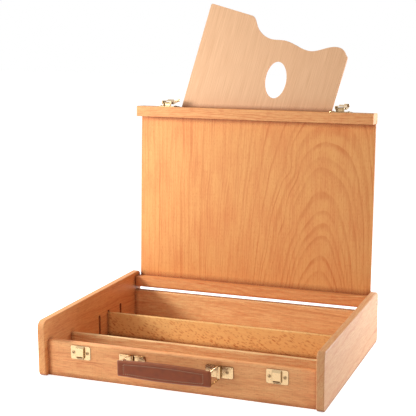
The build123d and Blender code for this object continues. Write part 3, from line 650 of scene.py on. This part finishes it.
def grip_mesh(form, settings):
    """The leather body: a rounded section swept along x, with folded ends, a stitched groove and a joint line
    along the top and bottom where the two leathers meet."""
    corner_steps, flat_steps, face_steps, length_steps, fold_steps = 7, 6, 34, 150, 9
    edge_steps = 2 * corner_steps + flat_steps
    arc = corner_steps / edge_steps
    seam_reach, seam_depth = 0.5, 0.35
    fold_angle, fold_power, least_pinch = math.radians(84), 2.4, 0.12
    section = []
    for side in (-1, 1):
        section += [("face", side, side * (2 * i / face_steps - 1)) for i in range(face_steps + 1)]
        section += [("edge", side, i / edge_steps) for i in range(1, edge_steps)]
    straight = form.half_length - form.fold
    flat = form.half_thick - form.corner
    stations = [-straight + 2 * straight * i / length_steps for i in range(length_steps + 1)]
    ends = [straight + form.fold * math.sin(fold_angle * i / fold_steps) for i in range(1, fold_steps + 1)]
    stations = [-x for x in reversed(ends)] + stations + ends
    mesh = bmesh.new()
    tinted = mesh.verts.layers.float.new("tinted")
    sunk = mesh.verts.layers.float.new("sunk")
    rows = []
    for x in stations:
        over = max(abs(x) - straight, 0) / form.fold
        pinch = max(max(1 - over ** fold_power, 0.0) ** (1 / fold_power), least_pinch)
        height = form.half_height(x) - 0.5 * over ** 3
        z_in = height - form.corner
        row = []
        for kind, side, t in section:
            if kind == "face":
                z = t * z_in
                drop, groove = form.face_drop(x, z, settings)
                y = side * form.half_thick - side * drop
                seam = 0.0
                rub = 0.25 * over
            else:
                drop = form.face_drop(x, height, settings)[0]
                # Quarter round, short flat, quarter round over the edge.
                a = min(t, 1 - t) / arc * math.pi / 2
                if a < math.pi / 2:
                    y = (flat + (form.corner - drop) * math.cos(a)) * (1 if t < 0.5 else -1)
                    z = z_in + form.corner * math.sin(a)
                else:
                    y = flat * (1 - 2 * (t - arc) / (1 - 2 * arc))
                    z = z_in + form.corner
                seam = math.exp(-(y / seam_reach) ** 2)
                z -= seam_depth * seam
                rub = 0.75 * math.sin(math.pi * t) ** 2
                y, z = side * y, side * z
                groove = 0.0
            point = form.middle / MM + Vector((x, y * pinch, z))
            vert = mesh.verts.new(point * MM)
            vert[tinted] = min(1.0, rub * (1 - 0.8 * seam))
            vert[sunk] = min(1.0, 0.5 * groove + 0.8 * seam)
            row.append(vert)
        rows.append(row)
    join_rings(mesh, rows)
    return as_mesh(mesh, "grip", smooth=True)


def bore_cutter(form):
    """The two upright bores that the ring wires turn in."""
    mesh = bmesh.new()
    for side in (-1, 1):
        place = form.middle + Vector((side * (form.half_length - form.bore_inset) * MM, 0, 0))
        bmesh.ops.create_cone(mesh, cap_ends=True, segments=24, radius1=form.bore_radius * MM,
                              radius2=form.bore_radius * MM, depth=3 * form.half_mid * MM,
                              matrix=Matrix.Translation(place))
    return as_mesh(mesh, "bores")


def rebate_cutter(form):
    """Wedges at the grip's ends, above and below, that leave the wires room to swing behind their legs."""
    mesh = bmesh.new()
    across, back = math.sin(form.swing), math.cos(form.swing)
    near = form.bore_radius * Vector((back, -across, 0))
    far = near + 3.2 * form.half_thick * Vector((across, back, 0))
    plan = [near, far, Vector((-far.x, far.y, 0)), Vector((-near.x, near.y, 0))]
    for side in (-1, 1):
        leg = form.middle / MM + Vector((side * (form.half_length - form.bore_inset), 0, -form.lift))
        for end in (-1, 1):
            floor, top = ([mesh.verts.new((leg + corner + Vector((0, 0, end * z))) * MM) for corner in plan]
                          for z in (form.under_wire, 2 * form.half_mid))
            mesh.faces.new(floor)
            mesh.faces.new(top)
            for i in range(4):
                mesh.faces.new((floor[i - 1], floor[i], top[i], top[i - 1]))
    return as_mesh(mesh, "rebates")


def seam_places(form, settings):
    """Middle and direction of each stitch round the seam, as (x, z, angle) in millimetres."""
    half_x = form.half_length - settings.seam_end_inset / MM
    long_steps, end_steps = 400, 40
    stops = [-half_x + 2 * half_x * i / long_steps for i in range(long_steps + 1)]
    line = [(x, form.half_height(x) - settings.seam_inset / MM) for x in stops]
    end_z = line[-1][1]
    line += [(half_x, end_z * (1 - 2 * i / end_steps)) for i in range(1, end_steps)]
    line += [(-x, -z) for x, z in line]
    line.append(line[0])
    lengths = [0.0]
    for a, b in zip(line, line[1:]):
        lengths.append(lengths[-1] + math.dist(a, b))
    count = round(lengths[-1] / (settings.stitch_pitch / MM))
    places = []
    k = 0
    for i in range(count):
        at = (i + 0.5) * lengths[-1] / count
        while lengths[k + 1] < at:
            k += 1
        share = (at - lengths[k]) / (lengths[k + 1] - lengths[k])
        a, b = line[k], line[k + 1]
        places.append((a[0] + (b[0] - a[0]) * share, a[1] + (b[1] - a[1]) * share,
                       math.atan2(b[1] - a[1], b[0] - a[0])))
    return places


def stitch_mesh(form, settings):
    """Every stitch of the seam on both faces: a short twisted thread that dives into the leather at its ends."""
    mesh = bmesh.new()
    thread = settings.thread_width / 2 / MM
    reach = settings.stitch_pitch / MM * 0.29
    steps = 8
    slant = 0.12
    crest, dive = 0.55, 1.15  # in radii of the thread: its middle's height, and how much lower its ends are
    for side in (-1, 1):
        for x, z, angle in seam_places(form, settings):
            level = form.half_thick - form.face_drop(x, z, settings)[0]
            along = Vector((math.cos(angle + side * slant), 0, math.sin(angle + side * slant)))
            out = Vector((0, side, 0))
            aside = along.cross(out)
            rings = []
            for i in range(steps + 1):
                t = 2 * i / steps - 1
                width = thread * max(1 - t ** 4, 0.06) ** 0.5
                centre = form.middle / MM + Vector((x, 0, z)) + along * (reach * t)
                centre += out * (level + thread * (crest - dive * t * t))
                rings.append([mesh.verts.new((centre + aside * (width * c) + out * (width * s)) * MM)
                              for c, s in circle(8)])
            join_rings(mesh, rings)
    return as_mesh(mesh, "stitches", smooth=True)


# ---- screws ----
def screw_places(name, out):
    """Centre of each screw's seat in a CAD node that holds several, from its vertices."""
    flat = Vector((0, -out.z, out.y))
    points = sorted((v.co.copy() for v in frame["nodes"][name].data.vertices), key=lambda p: p.x)
    groups = [[points[0]]]
    for point in points[1:]:
        if point.x - groups[-1][-1].x > 3 * MM:
            groups.append([])
        groups[-1].append(point)
    places = []
    for group in groups:
        x = (group[0].x + group[-1].x) / 2
        side = [p.dot(flat) for p in group]
        top = max(p.dot(out) for p in group)
        places.append(RIGHT * x + flat * ((min(side) + max(side)) / 2) + out * top)
    return places


def screw_mesh(name, out, seed):
    """Round-headed cross-recess screws: a domed head with a small flat rim, a tapering cross and a shank."""
    head, dome, shank, deep, point = 2.3, 1.0, 1.2, 8.0, 2.2
    rim, step, flatness = 0.12, 0.02, 0.97
    curve = [math.radians(a) for a in range(10, 86, 8)]
    profile = [(head * math.sin(a), -dome * (1 - math.cos(a)) / flatness) for a in curve]
    profile += [(head, -dome), (head - rim, -dome - step), (shank, -dome - step),
                (shank, -dome - deep + point), (0.15, -dome - deep)]
    # Levels of the cross, with the length and half width of its arms there.
    recess = ((0.5, 1.5, 0.42), (-0.2, 1.38, 0.36), (-0.85, 0.5, 0.16))
    draw = random.Random(seed)
    body, cross = bmesh.new(), bmesh.new()
    flat = Vector((0, -out.z, out.y))
    for place in screw_places(name, out):
        turn = draw.uniform(0, math.pi)
        matrix = Matrix.Translation(place) @ Matrix((RIGHT, flat, out)).transposed().to_4x4()
        matrix = matrix @ Matrix.Rotation(turn, 4, "Z") @ Matrix.Scale(MM, 4)
        rings = [[body.verts.new(matrix @ Vector((radius * c, radius * s, height))) for c, s in circle(28)]
                 for radius, height in profile]
        join_rings(body, rings, start=body.verts.new(matrix @ Vector((0, 0, 0))))
        arms = []
        for level, long, wide in recess:
            corner = [(long, -wide), (long, wide), (wide, wide)]
            ring = []
            for quarter in range(4):
                c, s = round(math.cos(math.pi / 2 * quarter)), round(math.sin(math.pi / 2 * quarter))
                ring += [cross.verts.new(matrix @ Vector((c * x - s * y, s * x + c * y, level)))
                         for x, y in corner]
            arms.append(ring)
        join_rings(cross, arms)
    return carved(as_mesh(body, "screws"), as_mesh(cross, "recesses"))


class POCHADE_OT_case(bpy.types.Operator):
    """Finish the beech boards of the case and the plywood floor"""

    bl_idname = "pochade.case"
    bl_label = "Case"

    def execute(self, context):
        wood = context.scene.pochade_wood
        # Name, along the grain, across it, heart of the tree, seed, early wood, lean, contrast, places of painted
        # shade in the openings.
        boards = {
            "front_rail": ("front rail", RIGHT, UP, (30, 55), 1, wood.beech_front, 0.02, 0.45, CATCH_MIDDLES),
            "back_rail": ("back rail", RIGHT, UP, (-20, 40), 2, wood.beech_inner, 0.09),
            "front_ledge": ("ledge", RIGHT, UP, (60, 30), 3, wood.beech_ledge),
            "side_left": ("left side", BACK, UP, (70, 55), 4, wood.beech_pale, 0.06),
            "side_right": ("right side", BACK, UP, (-90, 60), 5, wood.beech_side, -0.08),
        }
        for name, board in boards.items():
            clothe([name], beech_board(*board))
        clothe(["divider"], flecked_beech("Beech, quarter sawn and planed, divider", RIGHT, UP))
        low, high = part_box("bottom_panel")
        clothe(["bottom_panel"], panel_ply("Beech plywood, sanded, floor", RIGHT, BACK, (low + high) / 2,
                                           (high.z - low.z) / MM, (-60, 60, 60, 30, 0.16)))
        soften([*boards, "divider", "bottom_panel"], wood.edge_softness)
        return {"FINISHED"}


class POCHADE_OT_lid(bpy.types.Operator):
    """Finish the lid's panel and rails"""

    bl_idname = "pochade.lid"
    bl_label = "Lid"

    def execute(self, context):
        wood = context.scene.pochade_wood
        boards = {
            "lid_front_rail": ("lid top rail", RIGHT, LID_UP, (45, 50), 6, wood.beech_pale),
            "lid_rear_rail": ("lid hinge rail", RIGHT, LID_UP, (-60, 50), 7, wood.beech_pale, 0.03, 0.9),
        }
        for name, board in boards.items():
            clothe([name], beech_board(*board))
        low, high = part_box("lid_panel")
        cone = (112, 118, 60, 58, 0.26)
        swells = [(61, 14, 12, 6.6, 20, 52), (61, 14, 12, 5.4, 18, -32)]
        clothe(["lid_panel"], panel_ply("Beech plywood, sanded and oiled, lid panel", LID_UP, RIGHT,
                                        (low + high) / 2, PANEL_THICK, cone, swells))
        soften([*boards, "lid_panel"], wood.edge_softness)
        return {"FINISHED"}


class POCHADE_OT_palette(bpy.types.Operator):
    """Finish the plywood palette"""

    bl_idname = "pochade.palette"
    bl_label = "Palette"

    def execute(self, context):
        low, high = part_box("palette")
        along = LID_UP * math.cos(PALETTE_TILT) + RIGHT * math.sin(PALETTE_TILT)
        across = RIGHT * math.cos(PALETTE_TILT) - LID_UP * math.sin(PALETTE_TILT)
        clothe(["palette"], fine_ply("Hardwood plywood, sanded, palette", along, across, (low + high) / 2,
                                     PALETTE_THICK))
        # The thin sheet has a narrower arris than the boards.
        soften(["palette"], context.scene.pochade_wood.edge_softness * 0.7)
        return {"FINISHED"}


class POCHADE_OT_brassware(bpy.types.Operator):
    """Plate and polish the catches, latches, handle fittings and pivots"""

    bl_idname = "pochade.brassware"
    bl_label = "Brassware"

    def execute(self, context):
        brass = plated_brass("Brass plate, stamped and polished", 0.0)
        screw_brass = plated_brass("Brass screw, turned and tumbled", 0.45)
        kinds = ("catch_plate", "latch_base", "latch_lever", "latch_hook", "lever_pin", "hook_pin",
                 "handle_bracket", "handle_ring", "pivot_screw")
        names = [f"{kind}_{side}" for kind in kinds for side in ("left", "right")]
        clothe(names, brass)
        catches = names[:2]
        # The catch plates take the brass with painted shade at the bridges' feet.
        clothe(catches, plated_brass("Brass plate, stamped and blackened by the claw", 0.0, CATCH_MIDDLES))
        softened = [n for n in names if not n.startswith(("handle_ring", "lever_pin", "hook_pin"))]
        soften(softened, context.scene.pochade_brass.edge_softness)
        for seed, (name, out, body) in enumerate((("catch_screws", -BACK, "base"),
                                                  ("bracket_screws", -BACK, "base"),
                                                  ("latch_screws", LID_UP, "lid"))):
            piece = as_piece(name + "_driven", screw_mesh(name, out, seed), screw_brass, body)
            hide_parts(name)
        return {"FINISHED"}


class POCHADE_OT_grip(bpy.types.Operator):
    """Make the stitched leather grip"""

    bl_idname = "pochade.grip"
    bl_label = "Grip"

    def execute(self, context):
        settings = context.scene.pochade_grip
        form = GripForm()
        body = carved(carved(grip_mesh(form, settings), bore_cutter(form)), rebate_cutter(form))
        leather = as_piece("grip_leather_body", body, polished_leather(), "grip")
        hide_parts("handle_grip")
        stitches = as_piece("grip_stitches", stitch_mesh(form, settings), linen_thread(), "grip")
        return {"FINISHED"}


def seen_straight(tree):
    """1 for rays that come straight to the eye or by way of a shiny or clear surface, and 0 for all others."""
    path = node(tree, "LightPath")
    seen = calc(tree, "MAXIMUM", path.outputs["Is Camera Ray"], path.outputs["Is Glossy Ray"])
    return calc(tree, "MAXIMUM", seen, path.outputs["Is Transmission Ray"])


class POCHADE_OT_stage(bpy.types.Operator):
    """Set up the floor, lamps, surround and camera"""

    bl_idname = "pochade.stage"
    bl_label = "Studio"

    def execute(self, context):
        stage = context.scene.pochade_stage
        scene = context.scene
        scene.view_settings.view_transform = "Standard"
        mesh = bmesh.new()
        half_width = 6.0
        bmesh.ops.create_grid(mesh, x_segments=8, y_segments=8, size=half_width)
        made = bpy.data.meshes.new("studio_floor")
        mesh.to_mesh(made)
        mesh.free()
        floor = bpy.data.objects.new("studio_floor", made)
        scene.collection.objects.link(floor)

        # The paper glows a little for the eye only, so that it comes out white and still takes the shadow.
        paper, tree = new_material("Paper roll, matt white")
        matt = node(tree, "BsdfDiffuse", {"Color": stage.floor})
        lift = calc(tree, "MULTIPLY", seen_straight(tree), stage.floor_glow)
        glow = node(tree, "Emission", {"Color": (1.0, 1.0, 1.0), "Strength": lift})
        node(tree, "OutputMaterial", {"Surface": node(tree, "AddShader", {0: matt, 1: glow})})
        made.materials.append(paper)

        world = bpy.data.worlds.new("studio_surround")
        world.use_nodes = True
        world.node_tree.nodes.clear()
        tree = world.node_tree
        level = remap(tree, seen_straight(tree), 0, 1, stage.surround, 1.0)
        sky = node(tree, "Background", {"Color": (1.0, 1.0, 1.0), "Strength": level})
        node(tree, "OutputWorld", {"Surface": sky})
        scene.world = world

        # Lamps in metres: place, power, width, height and tint. All face a point inside the open box.
        target = Vector((0, 0.03, 0.15))
        for name, place, watts, wide, high, tint in (
                ("key_lamp", (-0.635, -0.14, 0.389), stage.key_power, 0.13, 0.13, "#ffffff"),
                ("fill_lamp", (-0.492, -0.823, 0.324), stage.fill_power, 0.3, 0.3, "#ffffff"),
                ("side_lamp", (0.641, 0.479, 0.316), stage.side_power, 0.16, 0.16, "#dcecff")):
            data = bpy.data.lights.new(name, "AREA")
            data.shape = "RECTANGLE"
            data.energy, data.size, data.size_y, data.color = watts, wide, high, linear(tint)
            lamp = bpy.data.objects.new(name, data)
            lamp.location = place
            lamp.rotation_euler = (target - Vector(place)).to_track_quat("-Z", "Y").to_euler()
            lamp.visible_camera = False
            scene.collection.objects.link(lamp)

        data = bpy.data.cameras.new("camera")
        data.sensor_width = 36.0
        data.lens = stage.lens
        # The lens is shifted, as the box stands off the middle of the view.
        data.shift_x, data.shift_y = -0.1173, -0.0382
        data.clip_start, data.clip_end = 0.05, 50
        camera = bpy.data.objects.new("camera", data)
        camera.location = (0.51799, -1.30568, 0.49113)
        down, left = math.radians(10.05), math.radians(19.27)
        camera.rotation_euler = (math.pi / 2 - down, 0, left)
        scene.collection.objects.link(camera)
        scene.camera = camera
        return {"FINISHED"}


class POCHADE_PT_panel(bpy.types.Panel):
    """Pochade box tools"""

    bl_idname = "POCHADE_PT_panel"
    bl_label = "Pochade Box"
    bl_space_type = "VIEW_3D"
    bl_region_type = "UI"
    bl_category = "Pochade Box"

    def draw(self, context):
        for maker in OPERATORS:
            self.layout.operator(maker.bl_idname)
        for group in SETTINGS:
            box = self.layout.box()
            settings = getattr(context.scene, group)
            for name in settings.bl_rna.properties.keys():
                if name not in ("rna_type", "name"):
                    box.prop(settings, name)


SETTINGS = {"pochade_wood": WoodSettings, "pochade_brass": BrassSettings, "pochade_grip": GripSettings,
            "pochade_stage": StageSettings}
OPERATORS = (POCHADE_OT_case, POCHADE_OT_lid, POCHADE_OT_palette, POCHADE_OT_brassware, POCHADE_OT_grip,
             POCHADE_OT_stage)


def register():
    for group in SETTINGS.values():
        bpy.utils.register_class(group)
    for name, group in SETTINGS.items():
        setattr(bpy.types.Scene, name, PointerProperty(type=group))
    for maker in (*OPERATORS, POCHADE_PT_panel):
        bpy.utils.register_class(maker)


def unregister():
    for maker in (*OPERATORS, POCHADE_PT_panel):
        bpy.utils.unregister_class(maker)
    for name, group in SETTINGS.items():
        delattr(bpy.types.Scene, name)
        bpy.utils.unregister_class(group)


def main():
    register()
    bpy.ops.pochade.case()
    bpy.ops.pochade.lid()
    bpy.ops.pochade.palette()
    bpy.ops.pochade.brassware()
    bpy.ops.pochade.grip()
    bpy.ops.pochade.stage()


if __name__ == "__main__":
    main()
